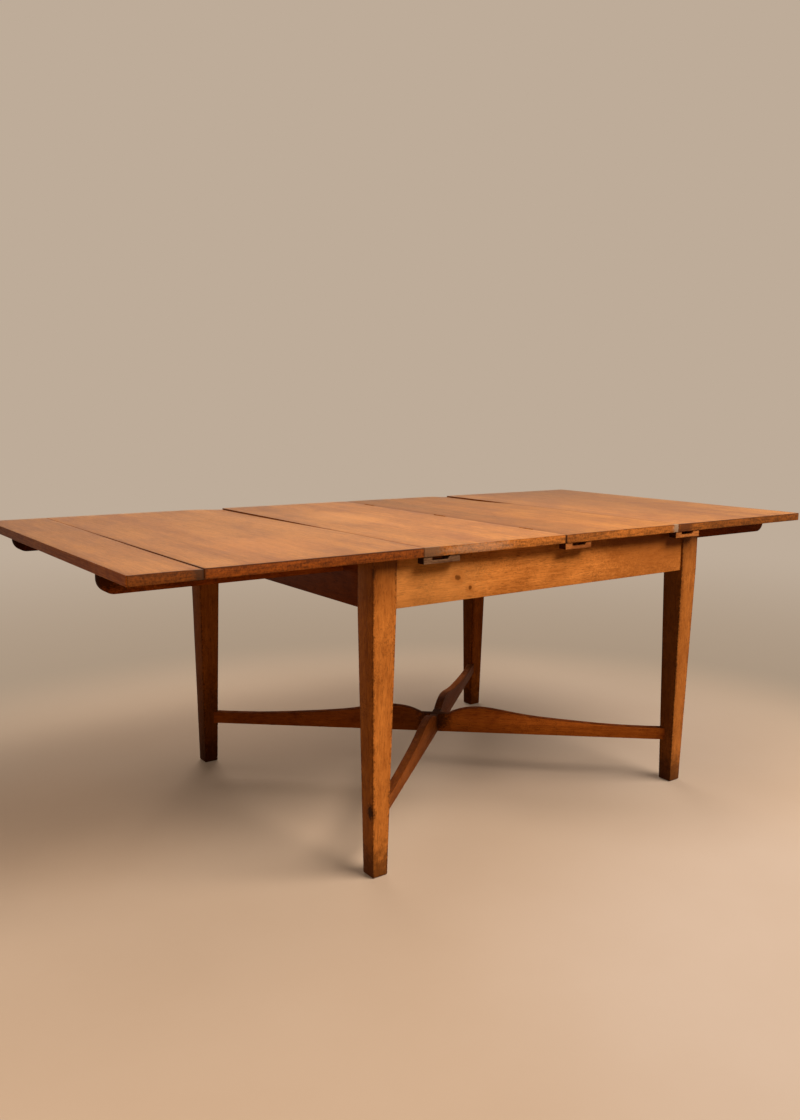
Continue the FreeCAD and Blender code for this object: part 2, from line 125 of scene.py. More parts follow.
# ---------------- looks of the wood
GRAIN_TURNS = {"X": (0, 0, 0), "Y": (0, 0, -math.pi / 2), "Z": (0, math.pi / 2, 0)}
GRAIN_AXES = {"X": (1, 0, 0), "Y": (0, 1, 0), "Z": (0, 0, 1)}
# How wide the arrises of each group are, as a share of the setting, and their bevel's steps.
EASING = {"top": (0.7, 3), "legs": (1.0, 3), "aprons": (0.6, 2), "stretchers": (1.0, 3),
          "bearers": (0.8, 2), "keepers": (0.7, 3)}
# Shares of the colour in the pale and the dark parts of a cut end; the keepers' ends are
# darkened further with painted shade.
END_SHARES = {"top": (1.5, 0.5), "base": (1.0, 0.4), "bearers": (0.9, 0.4), "keepers": (0.5, 0.15)}
# First seed of each group.
SEEDS = {"top": 3, "legs": 20, "aprons": 40, "stretchers": 60, "bearers": 80, "under": 90,
         "keepers": 100}
# Noise drawn out along the grain: length and width of its strands, detail and roughness.
STRANDS = {"slow": (1.1, 0.2, 3.0, 0.55), "wander": (0.25, 0.045, 2.0, 0.55),
           "broad": (0.9, 0.075, 3.0, 0.6), "streak": (0.22, 0.013, 3.0, 0.65),
           "fibre": (0.06, 0.0030, 2.0, 0.6), "pores": (0.017, 0.0018, 1.0, 0.55)}
# Other noises: lumps to the metre, detail, roughness, and reach for those about 0.
RIPPLES = {"cloud": (9.0, 3.0, 0.6, 2.0), "blot": (75.0, 3.0, 0.7, 2.0),
           "end_rings": (1.0, 3.0, 0.7, 2.0), "grit": (190.0, 3.0, 0.75, 2.0),
           "gather": (14.0, 3.0, 0.65, 0.8), "knot": (90.0, 2.0, 0.5, 0.9),
           "patch": (150.0, 3.0, 0.7, 1.5), "joint": (120.0, 2.0, 0.6, 0.0025),
           "arris": (130.0, 3.0, 0.7, 0.024), "smudge": (55.0, 4.0, 0.7, 0.16)}
NOISES = {"fine": (260.0, 2.0, 0.6), "tarnish": (140.0, 4.0, 0.65), "scratch": (1.0, 2.0, 0.6),
          "floor": (3.0, 4.0, 0.6)}
# How much each kind of mark adds to the dark wood, the height and the dullness of the surface.
FIGURE = {"late": 0.22, "streak": 0.48, "broad": 0.75, "fibre": 0.65}
MOTTLE = {"blot": 0.80, "cloud": 0.75}
RAISES = {"fibre": 0.3, "streak": 0.2, "pores": -0.8, "blot": 0.25}
DULLS = {"cloud": 0.05, "fibre": 0.05, "specks": 0.12, "end": 0.12, "dust": 0.4}
# Share of the dark wood that each kind of dark mark keeps.
KEEPS = {"pores": 0.40, "dust": 0.35, "specks": 0.36, "knot": 0.20, "joints": 0.22,
         "leg_dirt": 0.2, "soot": 0.07}
LATE_MEAN = 0.3
RELIEF = (0.0006, 0.35)  # depth of the grain, and how strongly it shows
PLANK_JOINT = 0.0006  # half the width over which one plank turns into the next
PLANK_SHIFTS = (1.7, 0.21, 0.013)  # how far the figure moves from a plank to the next
HEART_SWAY = (0.08, 0.045)  # how far the heart wanders sideways and in depth
HEART_DEPTH = 0.04
RING_OVAL = 2.2
RING_WANDER = 0.8
LATE_RISE, LATE_FALL = (0.35, 0.92), (1.0, 0.93)  # parts of a ring that turn dark and pale
PORE_RANGE, PORE_STRENGTH = (0.20, 0.34), 0.45
SPECK_RANGE, SPECK_STRENGTH = (0.62, 0.72), 0.7
SPECKLE = 1.3  # contrast of a cut end
END_RINGS = (26.0, 26.0, 190.0)  # ring lines to the metre on a cut end
FACING_END = (0.55, 0.85)
FACING_UP, FACING_DOWN, DUST_AND_SHADE_FACING = (0.4, 0.9), (-0.4, -0.9), (0.5, 0.9)
COAT_ROUGHNESS = 0.36
POLISH_CLOUD, POLISH_SPECKS = 0.12, 0.2
# Where a knot or patch starts and is full, in reaches, and the strength of a knot's two parts.
KNOT_CORE, KNOT_HALO, PATCH_EDGE = (1.0, 0.5, 0.95), (2.6, 1.2, 0.35), (1.3, 0.5)
# Dirt, and painted shade in the joints and under a leg's head: the distances at which it starts
# and is full, and its strength.
JOINT_BAND, ARRIS_BAND = (0.0046, 0.0012), (0.0045, 0.0015)
LEG_ARRIS, LEG_FOOT, LEG_HEAD_SHADE = (0.0044, 0.0004, 0.6), (0.11, 0.02, 0.75), (0.17, 0.03, 0.42)
# Painted light: the first tint lifts the boards' sides above their upper face.
TOP_SIDE_LIGHT = (2.1, 1.6, 1.0)  # tints of the edges and the undersides
UNDERSIDE = (0.95, 0.98, 1.35)

# For each board: tones of its planks, colour of its cut ends, dirt and painted shade along its left
# and right side at the front and the back, how much painted shade darkens it towards the back,
# dirt along the arris of its ends, and the polish that is left.
TOP_LOOKS = {
    "end_board": {
        "tones": (1.04,), "end": srgb(98, 48, 10), "left": (0.3, 0.3), "right": (0.85, 0.1),
        "faded": 0.28, "arris": 0.7, "polish": 0.57},
    "left_panel": {
        "tones": (1.04, 1.10, 1.03, 1.09), "end": srgb(112, 52, 8), "left": (0.85, 0.1),
        "right": (0.3, 0.8), "faded": 0.17, "arris": 0.95, "polish": 0.57},
    "leaf_left_panel": {
        "tones": (1.18, 1.36, 1.38), "end": srgb(142, 80, 29), "left": (0.3, 0.5),
        "right": (1.0, 0.6), "faded": 0.34, "arris": 0.2, "polish": 0.55},
    "leaf_right_panel": {
        "tones": (1.06, 1.32, 1.26), "end": srgb(144, 80, 28), "left": (1.0, 0.7),
        "right": (0.3, 0.7), "faded": 0.50, "arris": 0.5, "polish": 0.42},
    "right_panel": {
        "tones": (1.33, 1.17, 1.06, 1.06), "end": srgb(116, 62, 18), "left": (0.3, 0.4),
        "right": (0.3, 0.3), "faded": 0.48, "arris": 0.7, "polish": 0.58},
}
# Patches on the front ends: place from the board's left side, or from its right if negative,
# reach along each axis, strength and colour.
TOP_PATCHES = {
    "end_board": ((-0.004, (0.020, 0.010, 0.03), 0.75, srgb(54, 34, 20)),),
    # On the left leaf panel, the pale patch is a painted highlight along the front arris.
    "leaf_left_panel": ((0.0, (0.055, 0.010, 0.03), 0.8, srgb(102, 72, 50)),
                        (0.16, (0.10, 0.004, 0.012), 0.2, srgb(196, 168, 140))),
    "leaf_right_panel": ((-0.004, (0.018, 0.012, 0.03), 0.8, srgb(150, 124, 100)),),
    "right_panel": ((0.028, (0.030, 0.010, 0.03), 0.8, srgb(82, 38, 12)),),
}
# Streaks on top: place from the board's left side and across it, reach, strength and colour.
TOP_STREAKS = {
    "leaf_right_panel": ((0.022, -0.05, (0.020, 0.50, 0.05), 0.45, srgb(98, 44, 8)),),
    "leaf_left_panel": ((0.19, 0.10, (0.10, 0.16, 0.05), 0.30, srgb(190, 122, 50)),),
    "left_panel": ((0.26, -0.28, (0.14, 0.14, 0.05), 0.30, srgb(180, 108, 36)),),
}
# Tints of single legs: painted light and shade that copy how brightly each leg is lit.
LEG_LIGHT_AND_SHADE_TINTS = {"leg_front_right": 0.84, "leg_back_left": (0.80, 0.72, 0.62),
             "leg_back_right": (1.16, 1.02, 0.78)}
# Spots: place, reach along each axis, strength and share of the piece's light or dark wood.
# On the legs they are shares of the dark wood: knocks on the front left leg, and painted shade
# on the back left leg's foot and on the inner sides of the two right legs.
LEG_KNOCKS_AND_SHADE = {
    "leg_back_left": (((-0.47, 0.449, 0.10), (0.05, 0.05, 0.18), 0.55, 0.15),),
    "leg_back_right": (((0.543, 0.468, 0.42), (0.016, 0.060, 0.60), 0.6, 0.15),),
    "leg_front_right": (((0.543, -0.430, 0.42), (0.014, 0.060, 0.60), 0.42, 0.15),),
    "leg_front_left": (((-0.493, -0.461, 0.158), (0.013, 0.013, 0.020), 0.95, 0.15),
                       ((-0.501, -0.480, 0.708), (0.006, 0.006, 0.012), 0.7, 0.15)),
}
# The left apron's dark tint is painted shade, as it lies in the top's shadow.
APRON_TONES = {"apron_front": (1.26, 1.34, 1.55), "apron_left": (0.32, 0.20, 0.09)}
# Knots of the front apron: place and size.
APRON_KNOTS = ((-0.262, -0.475, 0.678, 0.0105), (-0.224, -0.475, 0.651, 0.0070))
# Darker and paler stretches, shares of the light wood.
APRON_SPOTS = {
    "apron_front": (((0.425, -0.475, 0.70), (0.22, 0.03, 0.08), 0.6, (0.46, 0.37, 0.28)),
                    ((-0.37, -0.475, 0.67), (0.20, 0.03, 0.08), 0.3, (1.16, 1.6, 2.6))),
}
# Painted shade: the stretchers' tints copy the top's shadow that they lie in, the rising one
# darker.
STRETCHER_SHADE_TINTS = {"stretcher_falling": (0.76, 0.58, 0.38),
                   "stretcher_rising": (0.38, 0.30, 0.21)}
# Dust and painted shade on the stretchers' upward faces, which lie in the top's shadow.
STRETCHER_DUST_AND_SHADE = {"stretcher_falling": 1.0, "stretcher_rising": 0.72}
# Paler stretches, with places from the crossing and shares of the light wood.
STRETCHER_SPOTS = {
    "stretcher_rising": (((0.26, 0.22, 0.17), (0.22, 0.20, 0.08), 0.60, (0.60, 0.46, 0.34)),),
}
# Darkening round the crossing, with places from the crossing and shares of the dark wood.
CROSSING_SPOTS = (((0, 0, 0.158), (0.050, 0.050, 0.040), 0.85, 0.06),
                  ((-0.075, 0.055, 0.150), (0.10, 0.10, 0.05), 0.45, 0.06))
# For each bearer: its tint, painted shade of the top's shadow that it lies in, and how far
# painted shade reaches down from the top's underside.
BEARER_LOOKS = {"bearer_left_front": ((0.68, 0.46, 0.25), 0.035),
                "bearer_left_back": ((0.30, 0.17, 0.08), 0.042),
                "bearer_right_front": ((0.66, 0.44, 0.22), 0.018),
                "bearer_right_back": ((0.50, 0.34, 0.18), 0.018)}
BEARER_UNDER_TOP_SHADE = (0.45, 0.10, 0.88)  # reach of the painted shade along and across a bearer, and strength
# Light and dark wood of the keepers: bare on the left leaf half, finished on the others.
KEEPER_BARE = (srgb(142, 104, 74), srgb(84, 52, 32))
KEEPER_FINISHED = (srgb(182, 108, 52), srgb(118, 62, 26))
# Metals: clean colour, roughness and tarnish.
BRASS = (srgb(186, 130, 76), 0.50, srgb(140, 88, 48))
STEEL = (srgb(150, 148, 144), 0.42, srgb(88, 76, 66))
TARNISH_RANGE, TARNISH_DULLS = (0.42, 0.66), 0.25
SCRATCH_RELIEF, SCRATCH_DULLS = (0.0001, 0.3), 0.15
SCRATCHES = (900, 60, 900)  # to the metre, along each axis

# ---------------- looks of the stage
FLOOR_SIZE = 24.0
WORLD_LIGHT = (0.062, 0.036, 0.020)
BACKDROP = srgb(190, 172, 153)
FLOOR_TONES = (srgb(152, 128, 106), srgb(157, 134, 113))
FLOOR_GLOW = 0.24  # shares of its tone that the floor gives off as a painted glow and throws back
FLOOR_BOUNCE = 0.18
# Painted pools of light and shadow on the floor: middle, where each is full and where it
# ends, and tint.
FLOOR_PAINTED_LIGHT_AND_SHADOW = (((0.15, -1.45, 0.0), (0.45, 1.05), (1.08, 1.15, 1.27)),
               ((0.75, 0.05, 0.0), (0.35, 1.05), (0.80, 0.84, 0.90)),
               ((0.24, -0.19, 0.0), (0.06, 0.42), (0.76, 0.73, 0.70)),
               ((-0.97, 0.22, 0.0), (0.10, 0.52), (1.26, 1.21, 1.16)))
COVE_MIDDLE = (-0.3, -0.5, 0.0)  # round this point the floor fades into the backdrop
COVE = (1.2, 2.3, 6.0)  # distances at which the fade starts, ends and loses COVE_FOOT
COVE_FOOT = srgb(168, 147, 125)
SENSOR_WIDTH = 36.0
# Lamps: their setting, place, the point they face, width and height, colour, and whether gloss
# shows them.
LAMPS = {
    "key": ("key_power", (3.4, -5.6, 8.2), (0.0, -0.1, 0.6), (6.5, 5.0), (1.0, 0.95, 0.88), True),
    "overhead": ("fill_power", (0.4, 0.4, 4.2), (0.0, 0.0, 0.7), (3.0, 3.0), (1.0, 0.97, 0.94),
                 True),
    "behind": ("back_power", (2.6, 6.2, 3.6), (0.0, 0.0, 0.3), (4.5, 3.0), (1.0, 0.97, 0.94),
               False),
    "side": ("side_power", (-2.0, -1.6, 0.5), (-0.5, -0.45, 0.45), (0.8, 0.8), (1.0, 0.76, 0.44),
             True),
}
MIX_FIRST, MIX_SECOND, MIX_RESULT = 6, 7, 2  # colour sockets of a Mix node


# ---------------- shader maths
class Value:
    """A shader socket that can be used in Python expressions."""

    def __init__(self, graph, socket):
        self.graph = graph
        self.socket = socket

    def do(self, operation, *others):
        """Any Math operation, such as FLOOR or MAXIMUM."""
        return self.graph.node("Math", {"operation": operation}, [self, *others])

    def _after(self, operation, first):
        """A Math operation in which this value comes second."""
        return self.graph.node("Math", {"operation": operation}, [first, self])

    def __add__(self, other):
        return self.do("ADD", other)

    def __radd__(self, other):
        return self._after("ADD", other)

    def __sub__(self, other):
        return self.do("SUBTRACT", other)

    def __rsub__(self, other):
        return self._after("SUBTRACT", other)

    def __mul__(self, other):
        return self.do("MULTIPLY", other)

    def __rmul__(self, other):
        return self._after("MULTIPLY", other)

    def __truediv__(self, other):
        return self.do("DIVIDE", other)

    def __rtruediv__(self, other):
        return self._after("DIVIDE", other)

    def __pow__(self, other):
        return self.do("POWER", other)

    def __rpow__(self, other):
        return self._after("POWER", other)

    def clamp(self):
        """The value, held between 0 and 1."""
        return self.graph.node("Clamp", {}, [self, 0.0, 1.0])

    def step(self, low, high):
        """0 below low, 1 above high and smooth between; low may be above high."""
        ends = (high, low, 1.0, 0.0) if low > high else (low, high, 0.0, 1.0)
        return self.graph.node("MapRange", {"interpolation_type": "SMOOTHSTEP"}, [self, *ends])


class Graph:
    """The nodes of one material or world, built by calls that take and return values."""

    def __init__(self, owner, shader="Principled BSDF"):
        owner.use_nodes = True
        self.owner = owner
        self.tree = owner.node_tree
        self.shader = self.tree.nodes[shader]

    def node(self, kind, settings=None, inputs=(), out=0):
        """Adds a node, sets it up, feeds its inputs by order or by name and returns one output."""
        node = self.tree.nodes.new("ShaderNode" + kind)
        for key, value in (settings or {}).items():
            setattr(node, key, value)
        for key, value in inputs.items() if isinstance(inputs, dict) else enumerate(inputs):
            self._fill(node.inputs[key], value)
        return Value(self, node.outputs[out])

    def _fill(self, socket, value):
        if isinstance(value, Value):
            self.tree.links.new(value.socket, socket)
        else:
            socket.default_value = value

    def feed(self, name, value):
        """Feeds or sets one socket of the owner's own shader."""
        self._fill(self.shader.inputs[name], value)

    def place(self):
        """Object coordinates."""
        return self.node("TexCoord", out="Object")

    def split(self, vector):
        """The three parts of a vector."""
        parts = self.node("SeparateXYZ", {}, [vector]).socket.node
        return [Value(self, output) for output in parts.outputs]

    def join(self, x, y, z):
        """A vector made of three parts."""
        return self.node("CombineXYZ", {}, [x, y, z])

    def stretch(self, vector, scale):
        """A vector times a scale along each axis."""
        return self.node("VectorMath", {"operation": "MULTIPLY"}, [vector, scale])

    def measure(self, operation, first, second):
        """The number that DISTANCE or DOT_PRODUCT makes of two vectors."""
        return self.node("VectorMath", {"operation": operation}, [first, second], out="Value")

    def noise(self, vector, scale, detail, rough):
        """Noise from 0 to 1."""
        return self.node("TexNoise", {}, {
            "Vector": vector, "Scale": scale, "Detail": detail, "Roughness": rough})

    def ripple(self, vector, kind):
        """Noise about 0 of one of the RIPPLES."""
        *recipe, reach = RIPPLES[kind]
        return (self.noise(vector, *recipe) - 0.5) * reach

    def mix(self, share, first, second, blend="MIX"):
        """Colour mix; first and second are colours or values."""
        return self.node("Mix", {"data_type": "RGBA", "blend_type": blend}, {
            "Factor": share, MIX_FIRST: self._colour(first), MIX_SECOND: self._colour(second)},
            out=MIX_RESULT)

    def _colour(self, value):
        return value if isinstance(value, Value) else (*value, 1.0)

    def bump(self, height, distance, strength):
        """Lets the surface look raised by a height."""
        self.feed("Normal", self.node("Bump", {}, {
            "Strength": strength, "Distance": distance, "Height": height}))


def wood(name, light, dark, grain="X", turn=None, axis=None, seed=0, ring=0.005, contrast=1.0,
         planks=(), rough=0.46, gloss=0.08, ends=(), mottle=1.0, specks=0.5, faded=0.0,
         dust_and_shade_share=0.0, polish=0.0, sides=(), edges=None, knots=(), patches=()):
    """Sawn and oiled oak.  The grain runs along one axis of the piece.

    light and dark are the colours between and in the growth rings, ends the two colours of a
    cut end, planks the edges and tones of the planks that a board is glued from, sides a tint
    for the faces that are neither on top nor cut ends, which paints light onto the top boards'
    sides.  edges is what joint_dirt_and_shade or leg_dirt returns, and shade_knots and
    shade_patches say what knots and patches hold.
    """
    g = Graph(bpy.data.materials.new(name))
    rng = random.Random(seed)
    shift = [rng.uniform(-3, 3) for _ in range(3)]
    turn = GRAIN_TURNS[grain] if turn is None else turn
    axis = GRAIN_AXES[grain] if axis is None else axis
    place = g.place()
    px, py = g.split(place)[:2]
    normal = g.node("TexCoord", out="Normal")
    lift = g.split(normal)[2]
    u, v, w = g.split(g.node("Mapping", {}, {"Vector": place, "Location": shift,
                                             "Rotation": turn}))

    # A wide board is several planks: each has its own shift of the figure and its own tone.
    tone = before = 1.0
    for number, (edge, plank_tone) in enumerate(planks):
        past = px.step(edge - PLANK_JOINT, edge + PLANK_JOINT)
        u = u + past * (PLANK_SHIFTS[0] + number)
        v = v + past * PLANK_SHIFTS[1]
        w = w + past * PLANK_SHIFTS[2]
        tone = tone + past * (plank_tone - before)
        before = plank_tone
    flow = g.join(u, v, w)

    def strands(kind):
        """Noise drawn out along the grain, from -1 to 1."""
        length, width, *recipe = STRANDS[kind]
        return (g.noise(g.join(u / length, v / width, w / width), 1.0, *recipe) - 0.5) * 2.0

    # Growth rings round a heart that lies behind the face, pulled out along the grain.
    marks = {kind: strands(kind) for kind in STRANDS}
    ring_v = v + marks["slow"] * HEART_SWAY[0]
    ring_w = w + marks["slow"] * HEART_SWAY[1] + HEART_DEPTH
    radius = (ring_v * ring_v + ring_w * ring_w * RING_OVAL) ** 0.5
    phase = radius / ring + marks["wander"] * RING_WANDER
    saw = phase - phase.do("FLOOR")
    marks["late"] = saw.step(*LATE_RISE) * saw.step(*LATE_FALL) - LATE_MEAN
    marks["pores"] = marks["pores"].step(*PORE_RANGE)
    marks["cloud"] = cloud = g.ripple(flow, "cloud")
    marks["blot"] = blot = g.ripple(g.stretch(flow, (0.5, 1.0, 1.0)), "blot")

    figure = weigh(marks, FIGURE) + weigh(marks, MOTTLE) * mottle
    colour = g.mix((figure * contrast + 0.5).clamp(), light, dark)
    colour = g.mix(marks["pores"] * PORE_STRENGTH, colour, shade(dark, KEEPS["pores"]))

    # Cut ends drink the finish and go dark and speckled.
    end = dust = 0.0
    if ends:
        end = g.measure("DOT_PRODUCT", normal, axis).do("ABSOLUTE").step(*FACING_END)
        ring_lines = g.ripple(g.stretch(place, END_RINGS), "end_rings")
        grit = g.ripple(flow, "grit")
        speckle = (ring_lines * SPECKLE + grit * SPECKLE + 0.5).clamp()
        colour = g.mix(end, colour, g.mix(speckle, *ends))
    upward = lift.step(*FACING_UP)
    # Painted light: the sides tint lifts the faces that are neither on top nor cut ends.
    if sides:
        tint = g.mix(lift.step(*FACING_DOWN), sides, UNDERSIDE)
        colour = g.mix((1.0 - upward) * (1.0 - end), colour, g.mix(1.0, colour, tint, "MULTIPLY"))
    if planks:
        # Painted shade: the board darkens towards its back.
        tone = tone * (1.0 - (py / TOP_WIDTH + 0.5).clamp() * faded)
        colour = g.mix(1.0, colour, g.join(tone, tone, tone), "MULTIPLY")
    # Dust and painted shade on the faces that look up.
    if dust_and_shade_share:
        dust = (lift.step(*DUST_AND_SHADE_FACING) * (0.9 + blot * 0.5)).clamp() * dust_and_shade_share
        colour = g.mix(dust, colour, shade(dark, KEEPS["dust"]))

    # Dark specks and rubbed-in dirt.
    fine = g.noise(place, *NOISES["fine"])
    gather = g.ripple(place, "gather")
    dots = (fine + gather).step(*SPECK_RANGE) * specks
    colour = g.mix(dots * SPECK_STRENGTH, colour, shade(dark, KEEPS["specks"]))
    if edges:
        for amount, tint in edges(g, place):
            colour = g.mix(amount, colour, tint)
    colour = shade_patches(g, place, colour, patches)
    colour = shade_knots(g, place, colour, dark, knots)

    g.feed("Base Color", colour)
    marks.update(specks=dots, end=end, dust=dust)
    g.feed("Roughness", (weigh(marks, DULLS) + rough).clamp())
    g.feed("Specular IOR Level", gloss)
    if polish:
        left = polish + cloud * POLISH_CLOUD - dots * POLISH_SPECKS
        g.feed("Coat Weight", (upward * left).clamp())
        g.feed("Coat Roughness", COAT_ROUGHNESS)
    g.bump(weigh(marks, RAISES), *RELIEF)
    return g.owner


def weigh(marks, shares):
    """The sum of some marks, each times its share."""
    return sum(marks[kind] * share for kind, share in shares.items())


def away_from(parts, centre, reach):
    """Distance from a centre, as a share of the reach along each axis."""
    dx, dy, dz = ((part - middle) / far for part, middle, far in zip(parts, centre, reach))
    return (dx * dx + dy * dy + dz * dz) ** 0.5


def shade_knots(g, place, colour, dark, knots):
    """Dark knots, each with its place and size."""
    for *centre, size in knots:
        away = away_from(g.split(place), centre, (size, size, size * 0.8))
        away = away + g.ripple(place, "knot")
        for (start, full, strength), tint in ((KNOT_CORE, shade(dark, KEEPS["knot"])),
                                              (KNOT_HALO, dark)):
            colour = g.mix(away.step(start, full) * strength, colour, tint)
    return colour


def cut_ends(colour, group):
    """The pale and the dark colour of a group's cut ends."""
    return tuple(shade(colour, share) for share in END_SHARES[group])


def spots_from(x, spots, colour):
    """Patches from spots whose places are told from x, as shares of a colour."""
    return [((x + dx, y, z), reach, strength, shade(colour, share))
            for (dx, y, z), reach, strength, share in spots]


def shade_patches(g, place, colour, patches):
    """Weathered or stained patches: place, reach along each axis, strength and colour."""
    for centre, reach, strength, tint in patches:
        away = away_from(g.split(place), centre, reach)
        away = away + g.ripple(place, "patch")
        colour = g.mix(away.step(*PATCH_EDGE) * strength, colour, tint)
    return colour


def joint_dirt_and_shade(sides, strength, tint):
    """Dirt and painted shade along the sides of a top board: each side is x, strength at
    the front and the back.
    """
    def amounts(g, place):
        px, py, pz = g.split(place)
        rub = g.ripple(place, "joint")
        share = (py / TOP_WIDTH + 0.5).clamp()
        # Dirt and painted shade along each side, where the boards meet.
        for x, front, back in sides:
            near = ((px - x).do("ABSOLUTE") + rub).step(*JOINT_BAND)
            yield near * (share * (back - front) + front), tint
        arris = (py + TOP_WIDTH / 2).do("ABSOLUTE") + (pz - TOP_HEIGHT).do("ABSOLUTE") + rub
        yield arris.step(*ARRIS_BAND) * strength, tint
    return amounts


def leg_dirt(middle, head, tint):
    """Dirt and dents along a leg's arrises and round its foot, and painted shade under its head."""
    def amounts(g, place):
        px, py, pz = g.split(place)
        half = (pz / KNEE).do("MINIMUM", 1.0) * ((head - FOOT_SIZE) / 2) + FOOT_SIZE / 2
        dx = (px - middle.x).do("ABSOLUTE")
        dy = (py - middle.y).do("ABSOLUTE")
        inset = half - dx.do("MINIMUM", dy)
        ragged = inset - g.ripple(place, "arris")
        smudge = g.ripple(place, "smudge")
        # The arris and foot bands are dirt; the head band is painted shade under the top.
        for away, (start, full, strength) in ((ragged, LEG_ARRIS), (pz + smudge, LEG_FOOT),
                                              (TOP_HEIGHT - pz - smudge * 0.4, LEG_HEAD_SHADE)):
            yield away.step(start, full) * strength, tint
    return amounts


def metal(name, colour, rough, tarnish):
    """Plain metal with patches of tarnish and fine scratches."""
    g = Graph(bpy.data.materials.new(name))
    place = g.place()
    patch = g.noise(place, *NOISES["tarnish"]).step(*TARNISH_RANGE)
    scratch = g.noise(g.stretch(place, SCRATCHES), *NOISES["scratch"])
    g.feed("Base Color", g.mix(patch, colour, tarnish))
    g.feed("Metallic", 1.0)
    dull = patch * TARNISH_DULLS + (scratch - 0.5) * SCRATCH_DULLS
    g.feed("Roughness", (rough + dull).clamp())
    g.bump(scratch, *SCRATCH_RELIEF)
    return g.owner


# ---------------- modelling
def body_of(node):
    """Name of the body that a frame node belongs to."""
    for body, members in frame["record"]["behaviour"]["bodies"].items():
        if node in members:
            return body
    raise ValueError("no body holds " + node)


def deselect():
    """Leaves edit mode and selects nothing."""
    if bpy.context.object and bpy.context.object.mode != "OBJECT":
        bpy.ops.object.mode_set(mode="OBJECT")
    bpy.ops.object.select_all(action="DESELECT")


def make_active(piece):
    """Selects one piece alone."""
    deselect()
    piece.select_set(True)
    bpy.context.view_layer.objects.active = piece


def select_none(kind):
    """Deselects every edge or face of the active piece, ready to select some in code."""
    bpy.ops.object.mode_set(mode="EDIT")
    bpy.ops.mesh.select_mode(type=kind)
    bpy.ops.mesh.select_all(action="DESELECT")
    bpy.ops.object.mode_set(mode="OBJECT")


def block(name, low, high):
    """A block between two corners, with its origin at the world's."""
    deselect()
    low, high = Vector(low), Vector(high)
    bpy.ops.mesh.primitive_cube_add(size=1.0, location=(low + high) / 2)
    piece = bpy.context.object
    piece.name = name
    piece.data.name = name
    piece.scale = high - low
    bpy.ops.object.transform_apply(location=True, rotation=True, scale=True)
    return piece


def slice_across(piece, axis, count):
    """Cuts a piece into even strips with planes square to one axis."""
    make_active(piece)
    places = [vertex.co[axis] for vertex in piece.data.vertices]
    low = min(places)
    step = (max(places) - low) / count
    normal = [0, 0, 0]
    normal[axis] = 1
    bpy.ops.object.mode_set(mode="EDIT")
    for index in range(1, count):
        bpy.ops.mesh.select_all(action="SELECT")
        point = [0, 0, 0]
        point[axis] = low + index * step
        bpy.ops.mesh.bisect(plane_co=point, plane_no=normal)
    bpy.ops.object.mode_set(mode="OBJECT")


def round_edges(piece, chosen, width, segments):
    """Bevels the edges for which chosen(first, second) is true."""
    make_active(piece)
    select_none("EDGE")
    points = piece.data.vertices
    for edge in piece.data.edges:
        first, second = (points[index].co for index in edge.vertices)
        edge.select = bool(chosen(first, second))
    bpy.ops.object.mode_set(mode="EDIT")
    bpy.ops.mesh.bevel(offset=width, segments=segments, affect="EDGES")
    bpy.ops.object.mode_set(mode="OBJECT")


def soften(piece, group, angle=SHARP_ANGLE):
    """Rounds every sharp arris as wide as the piece's group has it."""
    share, steps = EASING[group]
    make_active(piece)
    bevel = piece.modifiers.new("Arrises", "BEVEL")
    bevel.width = bpy.context.scene.table_shape.arris * share
    bevel.segments = steps
    bevel.limit_method = "ANGLE"
    bevel.angle_limit = math.radians(angle)
    bevel.use_clamp_overlap = True
    bpy.ops.object.modifier_apply(modifier=bevel.name)


def wear(piece, depth, size, chosen):
    """Presses the chosen points in by up to depth, in soft hollows of about one size."""
    make_active(piece)
    group = piece.vertex_groups.new(name="worn")
    group.add([v.index for v in piece.data.vertices if chosen(v)], 1.0, "REPLACE")
    texture = bpy.data.textures.new(piece.name + "_hollows", "CLOUDS")
    texture.noise_scale = size
    texture.noise_depth = 1
    modifier = piece.modifiers.new("Hollows", "DISPLACE")
    modifier.texture = texture
    modifier.texture_coords = "LOCAL"
    modifier.vertex_group = group.name
    modifier.mid_level = 1.0
    modifier.strength = depth
    bpy.ops.object.modifier_apply(modifier=modifier.name)
    bpy.data.textures.remove(texture)
    piece.vertex_groups.clear()


def press(piece, depth, share):
    """Lowers a piece's upper face by depth times share(x, y) at each point."""
    make_active(piece)
    high = max(vertex.co.z for vertex in piece.data.vertices)
    group = piece.vertex_groups.new(name="sunk")
    for vertex in piece.data.vertices:
        if vertex.co.z > high - SKIN:
            weight = min(1.0, max(0.0, share(vertex.co.x, vertex.co.y)))
            group.add([vertex.index], weight, "REPLACE")
    sink = piece.modifiers.new("Sink", "DISPLACE")
    sink.direction = "Z"
    sink.vertex_group = group.name
    sink.mid_level = 0.0
    sink.strength = -depth
    bpy.ops.object.modifier_apply(modifier=sink.name)
    piece.vertex_groups.clear()


def ease(value, low, high):
    """Smooth step from 0 at low to 1 at high."""
    share = min(1.0, max(0.0, (value - low) / (high - low)))
    return share * share * (3 - 2 * share)


def smooth(piece):
    """Shades a piece smooth except across its sharp edges."""
    make_active(piece)
    bpy.ops.object.shade_smooth_by_angle(angle=math.radians(SMOOTH_ANGLE))


def dressed(piece, node, material):
    """Gives a new piece its finish and lets it stand for a frame node."""
    piece.data.materials.clear()
    piece.data.materials.append(material)
    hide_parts(node)
    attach(piece, body_of(node))


